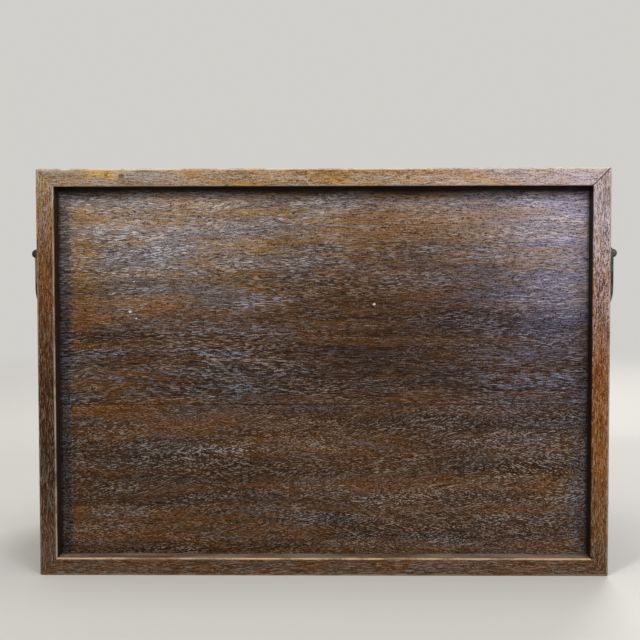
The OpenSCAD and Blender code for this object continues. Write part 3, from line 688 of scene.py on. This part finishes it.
    # A painted shadow darkens the panel under the top board and, less, along both side walls.
    side = abs(f.x)
    corner_shadow = ((f.z + wood.blots * 4.0).ramp(281.0, 287.5) * 0.97).most(
        side.ramp(194.5, 196.5) * 0.6)
    coat = f.mix(corner_shadow, coat, SOOT)
    f.paint(Base_Color=coat, Roughness=0.46 + wood.grit * 0.22, Specular_IOR_Level=GLOSS,
            Normal=f.relief(fibres * 1.4, 0.18, 0.55))
    clothe(node, f)


panel_board("back_board_upper", shift=300.0, sway=4.0, curl=0.35, dash=0.60, long_share=0.40,
            turn=0.09)
panel_board("back_board_lower", shift=900.0, sway=5.0, curl=0.4, dash=0.34, long_share=0.30,
            turn=0.7)

# ---- Shelves, partitions and stops ----------------------------------------------------------
# Plain boards of the same wood, which the drawers run on and between. Only their front edges,
# which show, are stained like the case.
STAIN_ENDS_Y = -110.0
STAIN_FULL_Y = -112.5


def plain_wood(name, along, dark, light, shift, faced=False):
    """Planed, unstained wood in two tones, with a stained front edge where it is faced."""
    wood = Wood(name, along, shift, sway=4.0, curl=0.3, dash=1.4)
    f = wood.finish
    fibres = wood.fibres(0.55)
    coat = f.mix((wood.bands * 0.4 + wood.streaks * 0.3 + fibres * 0.3).ramp(0.38, 0.62),
                 dark, light)
    if faced:
        coat = f.mix((f.y + (wood.blots - 0.5) * 2.0).ramp(STAIN_ENDS_Y, STAIN_FULL_Y), coat,
                     stained(wood, fibres, 0.3))
    coat = f.mix(wood.pores.ramp(0.28, 0.12) * 0.45, coat, BROWN)
    f.paint(Base_Color=coat, Roughness=0.55 + wood.grit * 0.2, Normal=f.relief(fibres, 0.12, 0.4))
    return f


INNER_DARK = colour(104, 76, 50)
INNER_LIGHT = colour(140, 106, 72)
inner_wood = {
    "X": plain_wood("shelf_wood", "X", INNER_DARK, INNER_LIGHT, shift=50.0, faced=True),
    "Z": plain_wood("partition_wood", "Z", INNER_DARK, INNER_LIGHT, shift=80.0, faced=True),
}
for node, along in (("shelf_upper", "X"), ("shelf_lower", "X"), ("partition_upper", "Z"),
                    ("partition_middle", "Z"), ("drawer_stops", "X")):
    clothe(node, inner_wood[along])

# ---- Drawers --------------------------------------------------------------------------------
# Fronts of the case's wood, stained and oiled, with the grain running across; sides, back and
# bottom of a pale plain wood, dovetailed at the corners.
DRAWERS = ("top_left", "top_right", "middle_left", "middle_right", "bottom")
PALE_DARK = colour(150, 116, 78)
PALE_LIGHT = colour(184, 150, 108)
FIRST_FRONT = 3000.0
NEXT_FRONT = 450.0


def drawer_front(node, shift):
    """Stained and oiled like the case, a little redder, with its arrises rubbed by hands."""
    wood = Wood(node + "_wood", "X", shift, sway=5.0, curl=0.4, dash=0.9)
    f = wood.finish
    fibres = wood.fibres(0.5)
    coat = stained(wood, fibres, 0.5)
    pull = node.replace("drawer_front", "pull_")
    coat = handled(f, coat, wood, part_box(pull + "rosettes"), 0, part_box(pull + "bail"))
    half_mm = MM_IN_METRE / 2.0
    low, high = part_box(node)
    off_side = abs(f.x - (low[0] + high[0]) * half_mm) - (high[0] - low[0]) * half_mm
    off_top = abs(f.z - (low[2] + high[2]) * half_mm) - (high[2] - low[2]) * half_mm
    edge = off_side.most(off_top) + (wood.blots - 0.5) * 2.0
    coat = f.tint((edge + (wood.stains - 0.5) * 10.0).ramp(-9.0, 0.0) * 0.5, coat, 0.62, 0.60, 0.60)
    worn = 0.10 + (wood.stains + (fibres - 0.5) * 0.8).ramp(0.42, 0.60) * 0.40
    coat = f.mix(edge.ramp(-1.8, -0.2) * worn, coat, RUBBED)
    f.paint(Base_Color=coat, Roughness=0.38 + wood.grit * 0.24, Specular_IOR_Level=GLOSS * 1.4,
            Normal=f.relief(fibres * 1.3, 0.16, 0.5))
    clothe(node, f)


drawer_wood = {
    "X": plain_wood("drawer_wood_across", "X", PALE_DARK, PALE_LIGHT, shift=10.0),
    "Y": plain_wood("drawer_wood_side", "Y", PALE_DARK, PALE_LIGHT, shift=20.0),
}
for number, drawer in enumerate(DRAWERS):
    drawer_front(drawer + "_drawer_front", FIRST_FRONT + NEXT_FRONT * number)
    for part, along in (("left_side", "Y"), ("right_side", "Y"), ("back", "X"), ("bottom", "X")):
        clothe(drawer + "_drawer_" + part, drawer_wood[along])

# ---- Iron fittings --------------------------------------------------------------------------
# Rosettes, posts and bails, forged, blackened with oil and heat, and rubbed grey where fingers
# and the bails have worn them.
BLACK_IRON = colour(48, 45, 44)
GREY_IRON = colour(104, 101, 98)
RUST_BLOOM = colour(92, 60, 42)

HAMMER_MARK = 3.2
BLOOM_PATCH = 9.0
SCALE_GRAIN = 0.8

iron = Finish("forged_iron")
hammered = iron.noise(iron.mm, (HAMMER_MARK,) * 3, 2.0, 0.5)
bloom = iron.noise(iron.mm, (BLOOM_PATCH,) * 3, 3.0, 0.6)
scale = iron.noise(iron.mm, (SCALE_GRAIN,) * 3, 2.0, 0.6)
iron_coat = iron.mix(bloom.ramp(0.40, 0.62), BLACK_IRON, GREY_IRON)
iron_coat = iron.mix((scale * bloom).ramp(0.30, 0.42) * 0.5, iron_coat, RUST_BLOOM)
iron.paint(Base_Color=iron_coat, Metallic=0.85, Roughness=0.36 + hammered * 0.3,
           Normal=iron.relief(hammered * 0.8 + scale * 0.2, 0.35, 0.6))
fittings = [d + "_pull_" + p for d in DRAWERS for p in ("rosettes", "posts", "bail")]
fittings += [e + "_handle_" + p for e in ("left", "right") for p in ("rosettes", "posts", "bail")]
for node in fittings:
    clothe(node, iron)
